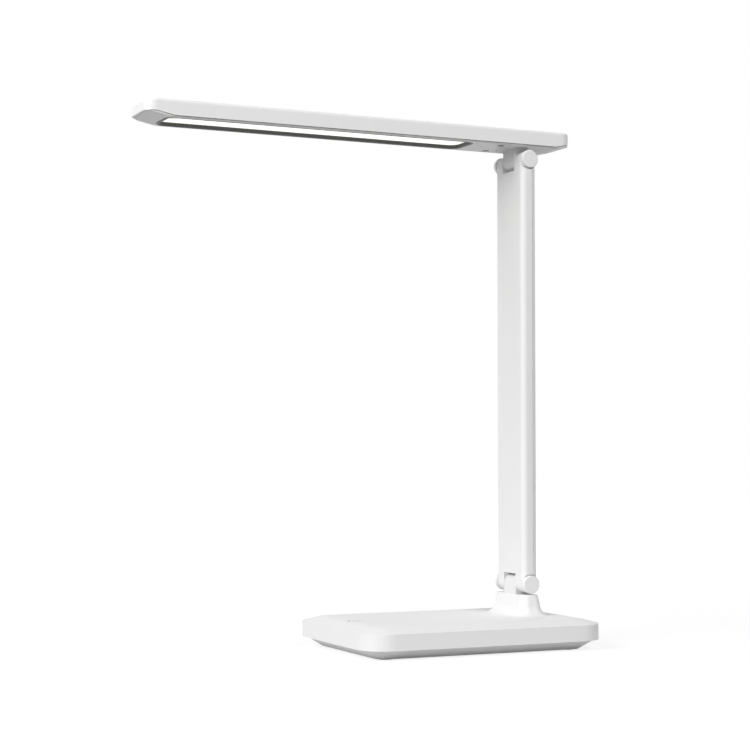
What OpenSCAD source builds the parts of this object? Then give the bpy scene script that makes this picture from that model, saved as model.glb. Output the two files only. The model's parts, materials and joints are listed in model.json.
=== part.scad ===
// Folding LED desk lamp: a flat weighted base, a neck, a two-shell arm and a slim head.
// Frame: origin on the table under the middle of the base, +Z up. The arm stands towards +X,
// the head reaches back over the base towards -X, and every part is symmetric about Y = 0.
// Rest pose: arm upright and head level, as in use.

/* [Base] */
// Length of the base, along the reach of the head
base_l = 194.7; // [180:0.1:240]
// Width of the base
base_w = 135.5; // [110:0.1:180]
// Corner radius of the base in plan
base_corner_r = 21.4; // [20:0.1:30]
// Height of the upright outer wall of the upper shell
base_wall_h = 11.5; // [10:0.1:18]
// Height of the lower edge of the upper shell above the table
base_lip_z = 7.8; // [7:0.1:12]
// Slope of the sloping band round the top, in degrees
crown_slope = 14.5; // [8:0.5:18]
// Width of the straight part of that band
crown_band = 10; // [6:0.5:11]
// Radius that blends the band into the flat top
crown_blend_r = 36; // [20:1:38]
// Wall of the upper shell
base_shell_t = 2.4; // [1.8:0.1:3]
// Inset of the foot of the tapered lower cover
cover_foot_inset = 15; // [11:0.5:17]
// Wall of the lower cover
base_cover_t = 2.2; // [1.8:0.1:2.6]
// Height of the inner lip that locates the lower cover in the shell
cover_lip_h = 3; // [2:0.1:4]
// Length, width and thickness of the steel counterweight
weight_l = 138; // [110:1:140]
weight_w = 78; // [60:1:80]
weight_t = 9; // [6:0.5:10]

/* [Feet and base screws] */
// Diameter and thickness of the rubber feet
foot_d = 12; // [10:0.5:13]
foot_t = 2; // [1.6:0.1:2.4]
// How far the feet stand proud of the cover
foot_proud = 0.6; // [0.4:0.1:1]
// Distance of the feet and the screws over them from the corner centres, towards the middle
foot_setback = 2; // [1:0.25:4]
// Shank diameter of the base screws
base_screw_d = 3; // [2.5:0.1:4]

/* [Controls] */
// Distance of the touch mark from the user's edge of the base
mark_setback = 19; // [17:0.5:30]
// Outer radius of the ring of the touch mark
mark_r = 4.2; // [2.8:0.1:4.5]
// Line width of the mark
mark_line = 0.6; // [0.4:0.1:1.2]
// Length and width of the control board
board_l = 60; // [50:1:70]
board_w = 40; // [30:1:50]
// Thickness of the circuit boards
board_t = 1.6; // [1:0.1:2]
// Bore and centre pin of the power inlet
inlet_bore_d = 5.7; // [5.5:0.1:6.5]
inlet_pin_d = 2.1; // [1.6:0.1:2.6]

/* [Neck] */
// Distance of both pivots from the rear edge of the base
pivot_setback = 39.35; // [37:0.05:48]
// Depth and width of the neck at its top
neck_top_l = 14.4; // [14.4:0.1:16]
neck_top_w = 43.5; // [43:0.1:48]
// Corner radius of the neck at its top
neck_corner_r = 4.6; // [4:0.1:5.5]
// Height of the top of the neck above the table
neck_top_z = 38.5; // [37.5:0.1:39]
// How much the neck widens on each side by its draft
neck_draft = 1.6; // [1:0.1:2]
// Radius of the hollow flare at the foot of the neck
neck_flare_r = 9; // [7:0.1:10]

/* [Hinges] */
// Height of the lower pivot above the table
lower_pivot_z = 46.4; // [46.2:0.1:52]
// Distance between the lower and the upper pivot
pivot_span = 320.5; // [260:0.5:360]
// Width of the tongue that sits in the fork
tongue_w = 17.4; // [16:0.1:18]
// Radius of the rounded end of the tongue
tongue_r = 6.1; // [5.8:0.1:6.2]
// Running clearance on each side of the tongue
tongue_gap = 0.1; // [0.1:0.05:0.3]
// Diameter of the hollow hinge pins
pin_d = 6; // [5:0.1:6.4]
// Radial running clearance of the pins
pin_fit = 0.05; // [0.02:0.01:0.08]
// Diameter of the hole through the middle of the pins, for the lead
pin_hole_d = 3; // [2.4:0.1:3.4]
// Diameter of the round hinge caps
cap_d = 13.5; // [12.6:0.1:13.8]
// How far the caps stand proud of the sides of the arm
cap_proud = 1.9; // [1:0.1:3]

/* [Arm] */
// Width of the arm, across the lamp
arm_w = 41.5; // [41:0.1:43]
// Thickness of the arm
arm_t = 12.75; // [12.5:0.05:13]
// Radius of the long edges of the arm
arm_edge_r = 4.1; // [3:0.1:4.4]
// Wall of the two arm shells
arm_shell_t = 1.8; // [1.4:0.1:2]
// Place of the seam between the shells, behind the middle of the arm
arm_seam_x = 2.3; // [1:0.1:2.6]
// Width of the gap between the two arm shells
arm_gap = 0.3; // [0.2:0.05:0.6]
// Depth of the fork slots past the pivots
slot_depth = 7.6; // [7:0.1:10]

/* [Head] */
// Reach of the head from the pivot to its free end
head_reach = 301.1; // [270:0.1:320]
// Length of the head behind the pivot
head_tail = 37.7; // [30:0.1:45]
// Width of the head
head_w = 40.5; // [40.2:0.1:46]
// Corner radius of the head in plan
head_corner_r = 8; // [7:0.1:12]
// Distance of the flat underside of the head above the pivot
head_drop = 9.9; // [8.8:0.1:12]
// Height of the seam above the underside
head_seam_h = 1.1; // [0.9:0.1:1.5]
// Height of the side wall of the upper head shell
head_wall_h = 11.5; // [11.2:0.1:14]
// Radius of the upper edge of the head
head_top_r = 2; // [1:0.1:3]
// Radius of the lower edge of the head
head_low_r = 1.9; // [1.6:0.1:2.4]
// Wall of the upper head shell
head_shell_t = 2; // [1.6:0.1:2.2]
// Floor of the lower head cover
head_cover_t = 1.8; // [1.4:0.1:2]
// Length of the seam's level stretch at the free end, and of its ramp behind that
tip_l = 7; // [4:0.1:10]
bevel_l = 14.1; // [10:0.1:20]
// Length of the ramp under the pivot end of the head
rear_bevel_l = 13.7; // [10:0.1:18]
// Rise of the seam at both ends
bevel_rise = 2.6; // [2:0.1:3]
// Rise of the underside at the free end, where it runs out past the seam
end_rise = 4.2; // [3.9:0.1:4.6]
// Width of the dark gap along the seams of the base and the head
seam_gap = 0.5; // [0.3:0.05:0.7]

/* [Light] */
// Length and width of the light opening
light_l = 237; // [200:1:250]
light_w = 30; // [28:0.1:30.2]
// Corner radius of the light opening
light_corner_r = 6.5; // [4:0.5:10]
// Distance of the light opening from the free end of the head
light_end = 19.1; // [14:0.1:30]
// Depth of the diffuser behind the underside
light_depth = 2.7; // [2.5:0.05:3]
// Width of the dark frame round the opening
frame_t = 2.5; // [2:0.05:2.6]
// Thickness of the diffuser
diffuser_t = 1.5; // [1:0.1:2]
// Number of light sources along the head, in each of two rows
led_count = 24; // [12:1:30]

/* [Swivel] */
// Diameter of the round swivel plate under the head
swivel_d = 29.7; // [26:0.1:31]
// Thickness of the swivel plate
swivel_t = 2.2; // [1.8:0.1:2.6]
// Diameter of the hollow swivel stud
stud_d = 10; // [9:0.1:11]
// Distance of the two head screws from the swivel axis, along and across the head
head_screw_x = 19.4; // [19:0.1:22]
head_screw_y = 12; // [9:0.1:12.5]

/* [Hidden] */
$fn = 96;

cut = 1;                 // how far a cutter reaches past the face it cuts
fit = 0.1;               // clearance of parts that are pushed together by hand
inner_gap = 0.2;         // gap between inner parts and the shells round them
press_fit = 0.02;        // radial clearance of parts that are fixed on a pin or stud
screw_fit = 0.05;        // radial clearance of a screw in its hole
hole_end = 2;            // how far a blind hole goes past its screw
post_step = 0.5;         // how much thinner the upper posts are than the lower ones
lead_r = 0.9;            // radius of the inner leads
lead_end = 0.3;          // gap between the end of a lead and a pin
steel_t = 2;             // sheet of the brackets and the spine

// Base heights, above the table
crown_rise = crown_band * tan(crown_slope) + crown_blend_r * (1 - cos(crown_slope));
base_edge_z = base_lip_z + base_wall_h;
base_top_z = base_edge_z + crown_rise;
base_roof_z = base_top_z - base_shell_t;
cover_floor_z = foot_proud + base_cover_t;
corner_x = base_l / 2 - base_corner_r;
corner_y = base_w / 2 - base_corner_r;
cover_fit = 0.3;         // gap between the lip of the lower cover and the shell
cover_lip_t = 1.8;
cover_lip_ramp = 1.5;
cover_top_r = base_corner_r - base_shell_t - cover_fit;
cover_foot_r = base_corner_r - cover_foot_inset;
weight_corner_r = 6;

// Screws that close the base, each over a foot
foot_x = corner_x - foot_setback;
foot_y = corner_y - foot_setback;
base_screw_head_t = 2.4;
base_screw_head_r = base_screw_d;
base_post_r = 4.5;
base_post_rise = 1.4;
base_post_z = base_lip_z + base_post_rise;
base_screw_l = 13.5;

// Boards inside the base
board_x = 0;
board_drop = 4.6;        // distance of the boards below the roof of the base
board_top_z = base_roof_z - board_drop;
board_z = board_top_z - board_t;
board_corner_r = 2;
board_hole_in = 4;       // distance of the screw holes from the edges of the control board
board_boss_r = 3;
board_boss_l = 3;        // depth of the screw holes in the bosses
board_screw_r = 1.2;
board_screw_bite = 2.6;
board_screw_head_r = 2.2;
board_screw_head_t = 1.4;
coil_x = -12;
coil_r = 5.5;
coil_h = 4.2;
can_x = 6;
can_r = 2.5;
can_h = 4;
can_pitch = 8;
chip_x = 16;
chip_l = 6;
chip_w = 8;
chip_h = 1.6;
driver_x = -26;
driver_l = 5;
driver_w = 6;
driver_h = 1.4;
lead_z = board_z + board_t / 2;
mark_x = -base_l / 2 + mark_setback;
mark_skin = 0.4;
mark_bar_l = 4.4;
mark_bar_in = 0.6;       // how far the bar reaches into the ring
mark_open = 28;          // half angle of the opening of the ring
touch_board_l = 20;
touch_board_w = 18;
touch_boss_y = 6.4;
touch_spring_r = 3;
touch_spring_hole_r = 2.3;
touch_lead_r = 0.75;
inlet_rise = 5.5;        // height of the inlet above the lower edge of the shell
inlet_z = base_lip_z + inlet_rise;
inlet_rim = 1.1;
inlet_nose_r = inlet_bore_d / 2 + inlet_rim;
inlet_pin_back = 1;      // how far the pin stands back from the mouth
inlet_body_l = 12;
inlet_body_w = 9;
inlet_body_h = 7.9;
inlet_depth = 9.5;
inlet_back_x = base_l / 2 - base_shell_t - inlet_body_l;
inlet_lead_y = -3;
rest_l = 6;              // rest under the inlet
rest_in = 2;
rest_sink = 4;

// Neck and knuckle
pivot_x = base_l / 2 - pivot_setback;
upper_pivot_z = lower_pivot_z + pivot_span;
neck_h = neck_top_z - base_top_z;
flare_sink = 0.2;        // the flare ends a little before it turns level, so its rim has a body
flare_c = neck_flare_r - flare_sink;
flare_out = neck_flare_r - sqrt(pow(neck_flare_r, 2) - pow(flare_c, 2));
flange_h = 5;
flange_l = 14.8;
flange_w = 37;
neck_screw_y = 14;
neck_screw_r = 2;
neck_screw_head_r = 3.6;
neck_screw_head_t = 2.4;
neck_screw_short = 0.5;
lead_hole_r = 1.6;
wall_hole_r = 2.2;       // hole in the base shell for the neck lead
pocket_fit = 0.05;       // clearance of the tongue in the neck

// Fork and hinge stack, measured outwards from the middle of the pin
slot_y = tongue_w / 2 + tongue_gap;
ear_wall_y = slot_y + arm_shell_t;
plate_y = ear_wall_y + inner_gap;
spring_y = plate_y + steel_t;
spring_washer_t = 0.8;
nut_y = spring_y + spring_washer_t;
nut_t = 2.4;
pin_end_y = nut_y + nut_t;
cap_seat_sink = 1.25;
cap_seat_y = arm_w / 2 - cap_seat_sink;
ear_skin = 1.5;
ear_pocket_y = cap_seat_y - ear_skin;
cap_gap = 0.7;           // dark gap round the caps
cap_seat_r = cap_d / 2 + cap_gap;
cap_plug_r = 4.9;
cap_rim_r = 0.8;
ear_wall = 1.3;
ear_pocket_r = arm_t / 2 - ear_wall;
pin_pass = 0.3;          // radial clearance of the pins in the shells
nut_r = 4.6;
washer_r = 4.6;
washer_t = 1.2;
pin_r = pin_d / 2;
bracket_r = 4.5;
web_z = slot_depth + arm_shell_t + inner_gap;
tab_l = 16;
tab_w = 14;
spine_w = 16;
spine_x = -arm_t / 2 + arm_shell_t + inner_gap;
tab_x = spine_x + steel_t;
arm_screw_steps = [0.3, 0.75];
arm_screw_r = 1.5;
arm_screw_head_r = 2.7;
arm_screw_head_t = 1.8;
lip_t = 1;
lip_h = 1.4;             // how far the lips of the back cover reach past the seam
arm_lead_y = (pin_end_y + ear_pocket_y) / 2;
arm_lead_end_y = 2;

// Head, with heights above the table
head_l = head_reach + head_tail;
head_cx = pivot_x - (head_reach - head_tail) / 2;
under_z = upper_pivot_z + head_drop;
seam_z = under_z + head_seam_h;
head_top_z = seam_z + head_wall_h;
head_roof_z = head_top_z - head_shell_t;
inner_round_r = 0.4;     // least radius inside the upper edge of the head
cover_edge_r = sqrt(pow(head_low_r, 2) - pow(head_low_r - head_seam_h, 2));
cover_side = 0.36;       // how far the lower cover stands in from the side wall
head_cover_r = head_corner_r - cover_side;
head_cover_top_z = seam_z + bevel_rise + 2 * cut;
light_cx = pivot_x - head_reach + light_end + light_l / 2;
diffuser_z = under_z + light_depth;
frame_flange_t = light_depth - head_cover_t - fit;
frame_flange_z = diffuser_z - frame_flange_t;
frame_flange_out = 0.5;
diffuser_out = 1.6;
spreader_t = 1;
spreader_over = 1;
led_board_t = 1.2;
spreader_z = head_roof_z - spreader_t;
led_board_z = spreader_z - led_board_t;
led_h = 0.8;
led_l = 3.5;
led_w = 2.8;
led_row_y = 7;
led_board_l = light_l - led_l - led_w;
led_board_w = 28;
stud_r = stud_d / 2;
swivel_r = swivel_d / 2;
swivel_gap = 0.3;
swivel_top_z = under_z + swivel_t;
swivel_floor_t = 2;
swivel_seat_z = swivel_top_z + swivel_floor_t;
swivel_spring_t = 0.8;
swivel_nut_t = 2.6;
swivel_nut_r = 7.5;
swivel_rim = 2;
stud_over = 0.3;
stud_top_z = swivel_seat_z + swivel_spring_t + swivel_nut_t + stud_over;
head_lead_r = 0.6;
head_screw_r = 1.3;
head_screw_head_r = 2.65;
head_screw_head_t = 1.6;
head_screw_sink = 0.3;
head_screw_end = 1.3;    // how far the screws end below the roof
head_screw_l = head_roof_z - under_z - head_screw_sink - head_screw_head_t - head_screw_end;
head_hole_r = head_screw_head_r + inner_gap;
head_post_h = 4.7;
head_post_z = under_z + head_post_h;
head_post_r = 4;

// ---------- Shared shapes ----------

// Rounded rectangle in plan
module rounded(l, w, r) {
    square([l - 2 * r, w], center = true);
    square([l, w - 2 * r], center = true);
    for (sx = [-1, 1], sy = [-1, 1])
        translate([sx * (l / 2 - r), sy * (w / 2 - r)])
            circle(r);
}

// Solid with a rounded plan whose rim has the outline given as the child.
// The outline's x is the distance from the corner centre, its y is the height.
module swept(l, w, r, z0, z1) {
    cx = l / 2 - r;
    cy = w / 2 - r;
    for (turn = [0 : 3])
        translate([(turn == 0 || turn == 3 ? 1 : -1) * cx, (turn < 2 ? 1 : -1) * cy, 0])
            rotate(90 * turn)
                rotate_extrude(angle = 90)
                    children();
    for (side = [0, 1]) {
        mirror([0, side, 0])
            translate([-cx, cy, 0])
                rotate([90, 0, 90])
                    linear_extrude(2 * cx)
                        children();
        mirror([side, 0, 0])
            translate([cx, cy, 0])
                rotate([90, 0, 0])
                    linear_extrude(2 * cy)
                        children();
    }
    translate([-cx, -cy, z0])
        cube([2 * cx, 2 * cy, z1 - z0]);
}

// Round bar along Y, between two distances from the middle
module bar_y(r, y0, y1) {
    translate([0, y0, 0])
        rotate([-90, 0, 0])
            cylinder(r = r, h = y1 - y0);
}

// Ring along Y
module ring_y(r, hole_r, y0, y1) {
    difference() {
        bar_y(r, y0, y1);
        bar_y(hole_r, y0 - cut, y1 + cut);
    }
}

// One copy on each side of the lamp
module both_sides() {
    children();
    mirror([0, 1, 0])
        children();
}

module at_lower_pivot() {
    translate([pivot_x, 0, lower_pivot_z])
        children();
}

// Turned over, so that the arm runs up from both pivots alike
module at_upper_pivot() {
    translate([pivot_x, 0, upper_pivot_z])
        mirror([0, 0, 1])
            children();
}

// Screw with its head at the bottom and its shank upwards
module screw_up(r, l, head_r, head_t) {
    cylinder(r = head_r, h = head_t);
    translate([0, 0, head_t])
        cylinder(r = r, h = l);
}

// ---------- Base ----------

// Rim outline of the upper shell, offset inwards by the wall: t = 0 is the outside
module crown_outline(t, z0) {
    r = base_corner_r - t;
    top = base_top_z - t;
    band = crown_band - t;
    blend_w = crown_blend_r * sin(crown_slope);
    flat_r = r - band - blend_w;
    edge = top - band * tan(crown_slope) - crown_blend_r * (1 - cos(crown_slope));
    knee = edge + band * tan(crown_slope);
    polygon([[0, z0], [r, z0], [r, edge], [r - band, knee], [r - band, z0 + cut], [0, z0 + cut]]);
    translate([0, z0])
        square([flat_r, top - z0]);
    intersection() {
        translate([flat_r, top - crown_blend_r])
            circle(crown_blend_r, $fn = 360);
        translate([flat_r, z0])
            square([blend_w, top - z0]);
    }
}

// Solid form of the upper shell, offset inwards by t
module base_form(t, z0) {
    swept(base_l - 2 * t, base_w - 2 * t, base_corner_r - t, z0, base_top_z - t)
        crown_outline(t, z0);
}

module at_base_corners() {
    for (sx = [-1, 1], sy = [-1, 1])
        translate([sx * foot_x, sy * foot_y, 0])
            children();
}

// Standby symbol: a ring, open away from the user, with a bar through the opening
module mark_symbol() {
    difference() {
        circle(mark_r);
        circle(mark_r - mark_line);
        polygon([
            [0, 0],
            2 * mark_r * [cos(mark_open), -sin(mark_open)],
            2 * mark_r * [cos(mark_open), sin(mark_open)],
        ]);
    }
    translate([mark_r - mark_line - mark_bar_in, -mark_line / 2])
        square([mark_bar_l - mark_line, mark_line]);
}

// The mark as a thin skin let into the top, raised above it by a margin
module mark_inlay(over) {
    intersection() {
        translate([mark_x, 0, base_edge_z])
            linear_extrude(crown_rise + cut)
                mark_symbol();
        difference() {
            base_form(-over, base_lip_z);
            translate([0, 0, -mark_skin])
                base_form(0, base_lip_z - cut);
        }
    }
}

module base_shell() {
    color("white")
        difference() {
            union() {
                difference() {
                    base_form(0, base_lip_z);
                    base_form(base_shell_t, base_lip_z - cut);
                }
                // posts that take the base screws
                at_base_corners()
                    translate([0, 0, base_post_z])
                        cylinder(r = base_post_r - post_step, h = base_roof_z - base_post_z + cut);
                // bosses that carry the boards
                board_corners()
                    translate([0, 0, board_top_z])
                        cylinder(r = board_boss_r, h = base_roof_z - board_top_z + cut);
                touch_corners()
                    translate([0, 0, board_top_z])
                        cylinder(r = board_boss_r - post_step,
                                 h = base_roof_z - board_top_z + cut);
            }
            at_base_corners()
                translate([0, 0, base_post_z - cut])
                    cylinder(r = base_screw_d / 2 + screw_fit,
                             h = foot_t + base_screw_l + hole_end - base_post_z);
            board_corners()
                translate([0, 0, board_top_z - cut])
                    cylinder(r = board_screw_r + screw_fit, h = board_boss_l + cut);
            touch_corners()
                translate([0, 0, board_top_z - cut])
                    cylinder(r = board_screw_r + screw_fit, h = board_boss_l + cut);
            // neck screws and lead
            translate([pivot_x, 0, base_roof_z - cut]) {
                for (sy = [-1, 1])
                    translate([0, sy * neck_screw_y, 0])
                        cylinder(r = neck_screw_r + screw_fit, h = base_shell_t + 2 * cut);
                cylinder(r = wall_hole_r, h = base_shell_t + 2 * cut);
            }
            // nose of the power inlet
            translate([base_l / 2 - base_shell_t - cut, 0, inlet_z])
                rotate([0, 90, 0])
                    cylinder(r = inlet_nose_r + screw_fit, h = base_shell_t + 2 * cut);
            mark_inlay(cut);
        }
}

// Outside of the lower cover: a taper that widens upwards, then the locating lip
module cover_form() {
    lip_z = base_lip_z + cover_lip_h;
    swept(base_l, base_w, base_corner_r, foot_proud, lip_z)
        polygon([
            [0, foot_proud],
            [cover_foot_r, foot_proud],
            [cover_top_r, base_lip_z],
            [cover_top_r, lip_z],
            [0, lip_z],
        ]);
}

// Inside of the lower cover, with a wall of even thickness
module cover_hollow() {
    taper = (cover_top_r - cover_foot_r) / (base_lip_z - foot_proud);
    wall_across = base_cover_t * sqrt(1 + pow(taper, 2));
    floor_r = cover_foot_r + base_cover_t * taper - wall_across;
    lip_r = cover_top_r - cover_lip_t;
    top = base_lip_z + cover_lip_h + cut;
    swept(base_l, base_w, base_corner_r, cover_floor_z, top)
        polygon([
            [0, cover_floor_z],
            [floor_r, cover_floor_z],
            [cover_top_r - wall_across, base_lip_z],
            [lip_r, base_lip_z + cover_lip_ramp],
            [lip_r, top],
            [0, top],
        ]);
}

module base_cover() {
    rest_z = base_lip_z - rest_sink;
    inlet_low_z = inlet_z - inlet_body_h / 2;
    color("white")
        difference() {
            union() {
                difference() {
                    cover_form();
                    cover_hollow();
                }
                at_base_corners()
                    translate([0, 0, cover_floor_z - cut])
                        cylinder(r = base_post_r,
                                 h = base_post_z - cover_floor_z + cut - inner_gap);
                // rest under the power inlet
                intersection() {
                    cover_form();
                    translate([inlet_back_x + rest_in, -inlet_body_w / 2, rest_z])
                        cube([rest_l, inlet_body_w, inlet_low_z - rest_z]);
                }
            }
            at_base_corners() {
                translate([0, 0, foot_proud - cut])
                    cylinder(r = foot_d / 2 + fit, h = foot_t - foot_proud + cut);
                cylinder(r = base_screw_head_r + fit, h = foot_t + base_screw_head_t);
                cylinder(r = base_screw_d / 2 + screw_fit, h = base_post_z + cut);
            }
            // notch in the lip for the power inlet
            translate([inlet_back_x, -inlet_body_w / 2 - cover_fit, inlet_low_z])
                cube([inlet_body_l + base_shell_t, inlet_body_w + 2 * cover_fit, inlet_body_h]);
        }
}

module base_feet() {
    color("dimgray")
        at_base_corners()
            cylinder(r = foot_d / 2, h = foot_t);
}

module base_screws() {
    color("silver")
        at_base_corners()
            translate([0, 0, foot_t])
                screw_up(base_screw_d / 2, base_screw_l - base_screw_head_t,
                         base_screw_head_r, base_screw_head_t);
}

module counterweight() {
    color("slategray")
        translate([0, 0, cover_floor_z])
            linear_extrude(weight_t)
                rounded(weight_l, weight_w, weight_corner_r);
}

// ---------- Controls in the base ----------

module touch_mark() {
    color("gray")
        mark_inlay(0);
}

module touch_corners() {
    for (sy = [-1, 1])
        translate([mark_x, sy * touch_boss_y, 0])
            children();
}

// Contact spring between the touch board and the inside of the top
module touch_spring() {
    color("goldenrod")
        translate([mark_x, 0, board_top_z])
            difference() {
                cylinder(r = touch_spring_r, h = base_roof_z - board_top_z - inner_gap);
                translate([0, 0, -cut])
                    cylinder(r = touch_spring_hole_r, h = base_roof_z);
            }
}

module touch_board() {
    color("seagreen")
        difference() {
            translate([mark_x, 0, board_z])
                linear_extrude(board_t)
                    rounded(touch_board_l, touch_board_w, board_corner_r);
            touch_corners()
                translate([0, 0, board_z - cut])
                    cylinder(r = board_screw_r + screw_fit, h = board_t + 2 * cut);
        }
}

module touch_lead() {
    start = mark_x + touch_board_l / 2;
    color("dimgray")
        translate([start, 0, lead_z])
            rotate([0, 90, 0])
                cylinder(r = touch_lead_r, h = board_x - board_l / 2 - start);
}

module board_corners() {
    for (sx = [-1, 1], sy = [-1, 1])
        translate([board_x + sx * (board_l / 2 - board_hole_in),
                   sy * (board_w / 2 - board_hole_in), 0])
            children();
}

module control_board() {
    color("seagreen")
        difference() {
            translate([board_x, 0, board_z])
                linear_extrude(board_t)
                    rounded(board_l, board_w, board_corner_r);
            board_corners()
                translate([0, 0, board_z - cut])
                    cylinder(r = board_screw_r + screw_fit, h = board_t + 2 * cut);
        }
}

// Coil, capacitors and chips that drive and dim the light
module control_parts() {
    color("darkslategray")
        translate([board_x, 0, board_top_z]) {
            translate([coil_x, 0, 0])
                cylinder(r = coil_r, h = coil_h);
            for (step = [-1.5 : 1.5])
                translate([can_x, step * can_pitch, 0])
                    cylinder(r = can_r, h = can_h);
            translate([chip_x, -chip_w / 2, 0])
                cube([chip_l, chip_w, chip_h]);
            translate([driver_x, -driver_w / 2, 0])
                cube([driver_l, driver_w, driver_h]);
        }
}

module board_screw() {
    screw_up(board_screw_r, board_t + board_screw_bite, board_screw_head_r, board_screw_head_t);
}

module board_screws() {
    color("silver") {
        board_corners()
            translate([0, 0, board_z - board_screw_head_t])
                board_screw();
        touch_corners()
            translate([0, 0, board_z - board_screw_head_t])
                board_screw();
    }
}

module power_inlet() {
    color("dimgray")
        translate([base_l / 2, 0, inlet_z])
            rotate([0, -90, 0])
                union() {
                    difference() {
                        union() {
                            cylinder(r = inlet_nose_r, h = base_shell_t + cut);
                            translate([-inlet_body_h / 2, -inlet_body_w / 2, base_shell_t])
                                cube([inlet_body_h, inlet_body_w, inlet_body_l]);
                        }
                        translate([0, 0, -cut])
                            cylinder(r = inlet_bore_d / 2, h = inlet_depth + cut);
                    }
                    translate([0, 0, inlet_pin_back])
                        cylinder(r = inlet_pin_d / 2, h = inlet_depth);
                }
}

module inlet_lead() {
    start = board_x + board_l / 2;
    color("dimgray")
        translate([start, inlet_lead_y, lead_z])
            rotate([0, 90, 0])
                cylinder(r = lead_r, h = inlet_back_x - start);
}

// ---------- Neck ----------

// Half section of the neck: draft, then a hollow flare that runs out on the base
module neck_outline() {
    foot_r = neck_corner_r + neck_draft;
    difference() {
        union() {
            polygon([[0, 0], [foot_r, 0], [foot_r, flare_c], [neck_corner_r, neck_h],
                     [0, neck_h]]);
            square([foot_r + flare_out, flare_c]);
        }
        translate([foot_r + neck_flare_r, flare_c])
            circle(neck_flare_r);
    }
}

module neck() {
    color("white")
        translate([pivot_x, 0, base_top_z])
            difference() {
                swept(neck_top_l, neck_top_w, neck_corner_r, 0, neck_h)
                    neck_outline();
                translate([-tongue_r - pocket_fit, -tongue_w / 2 - pocket_fit, -cut])
                    cube([2 * (tongue_r + pocket_fit), tongue_w + 2 * pocket_fit, neck_h + 2 * cut]);
                translate([-flange_l / 2 - fit, -flange_w / 2 - fit, -cut])
                    cube([flange_l + 2 * fit, flange_w + 2 * fit, flange_h + fit + cut]);
            }
}

// Outline of a tongue: round about the pivot and straight down to a length
module tongue_outline(l) {
    circle(tongue_r);
    translate([-tongue_r, -l])
        square([2 * tongue_r, l]);
}

// Tongue with its pin bore and the seats of the two friction washers
module tongue(l) {
    difference() {
        translate([0, tongue_w / 2, 0])
            rotate([90, 0, 0])
                linear_extrude(tongue_w)
                    tongue_outline(l);
        bar_y(pin_r + pin_fit, -tongue_w, tongue_w);
        both_sides()
            bar_y(washer_r + fit, slot_y - washer_t, tongue_w);
    }
}

module lower_knuckle() {
    foot = lower_pivot_z - base_top_z;
    color("whitesmoke")
        difference() {
            union() {
                at_lower_pivot()
                    tongue(foot);
                translate([pivot_x - flange_l / 2, -flange_w / 2, base_top_z])
                    cube([flange_l, flange_w, flange_h]);
            }
            translate([pivot_x, 0, base_top_z - cut]) {
                cylinder(r = lead_hole_r, h = foot + cut);
                for (sy = [-1, 1])
                    translate([0, sy * neck_screw_y, 0])
                        cylinder(r = neck_screw_r, h = flange_h + 2 * cut);
            }
        }
}

module neck_screws() {
    color("silver")
        for (sy = [-1, 1])
            translate([pivot_x, sy * neck_screw_y, base_roof_z - neck_screw_head_t])
                screw_up(neck_screw_r - screw_fit, base_shell_t + flange_h - neck_screw_short,
                         neck_screw_head_r, neck_screw_head_t);
}

// Lead from the control board up through the knuckle to the lower pin
module neck_lead() {
    start = board_x + board_l / 2;
    color("dimgray") {
        translate([start, 0, lead_z])
            rotate([0, 90, 0])
                cylinder(r = lead_r, h = pivot_x - start);
        translate([pivot_x, 0, lead_z])
            sphere(lead_r);
        translate([pivot_x, 0, lead_z])
            cylinder(r = lead_r, h = lower_pivot_z - pin_r - lead_end - lead_z);
    }
}

// ---------- Arm, drawn upwards from the lower pivot ----------

// Solid form of the arm, with ends that turn about the pivots
module arm_form() {
    linear_extrude(pivot_span)
        rounded(arm_t, arm_w, arm_edge_r);
    for (end = [0, 1])
        translate([0, 0, end * pivot_span])
            rotate([end == 0 ? -90 : 90, 0, 0])
                rotate_extrude(angle = 180)
                    intersection() {
                        rounded(arm_t, arm_w, arm_edge_r);
                        translate([0, -arm_w / 2])
                            square([arm_t, arm_w]);
                    }
}

// Fork slot, ear pockets, pin holes and cap seats at one pivot
module fork_cuts() {
    translate([-arm_t, -slot_y, -arm_t])
        cube([2 * arm_t, 2 * slot_y, arm_t + slot_depth]);
    both_sides() {
        bar_y(ear_pocket_r, ear_wall_y, ear_pocket_y);
        translate([-ear_pocket_r, ear_wall_y, 0])
            cube([2 * ear_pocket_r, ear_pocket_y - ear_wall_y, slot_depth + arm_shell_t + cut]);
        bar_y(pin_r + pin_pass, slot_y - cut, ear_wall_y + cut);
        bar_y(cap_plug_r + fit / 2, ear_pocket_y - cut, cap_seat_y + cut);
        bar_y(cap_seat_r, cap_seat_y, arm_w);
    }
}

module arm_cavity() {
    x0 = -arm_t / 2 + arm_shell_t;
    x1 = arm_t / 2 - arm_shell_t;
    z0 = slot_depth + arm_shell_t;
    translate([0, 0, z0])
        linear_extrude(pivot_span - 2 * z0)
            rounded(x1 - x0, arm_w - 2 * arm_shell_t, arm_edge_r - arm_shell_t);
}

// Both shells before they are parted at the seam
module arm_hull() {
    difference() {
        arm_form();
        arm_cavity();
        fork_cuts();
        translate([0, 0, pivot_span])
            mirror([0, 0, 1])
                fork_cuts();
    }
}

module arm_front_shell() {
    color("white")
        at_lower_pivot()
            intersection() {
                arm_hull();
                translate([-arm_t, -arm_w, -arm_t])
                    cube([arm_t + arm_seam_x, 2 * arm_w, pivot_span + 2 * arm_t]);
            }
}

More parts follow.
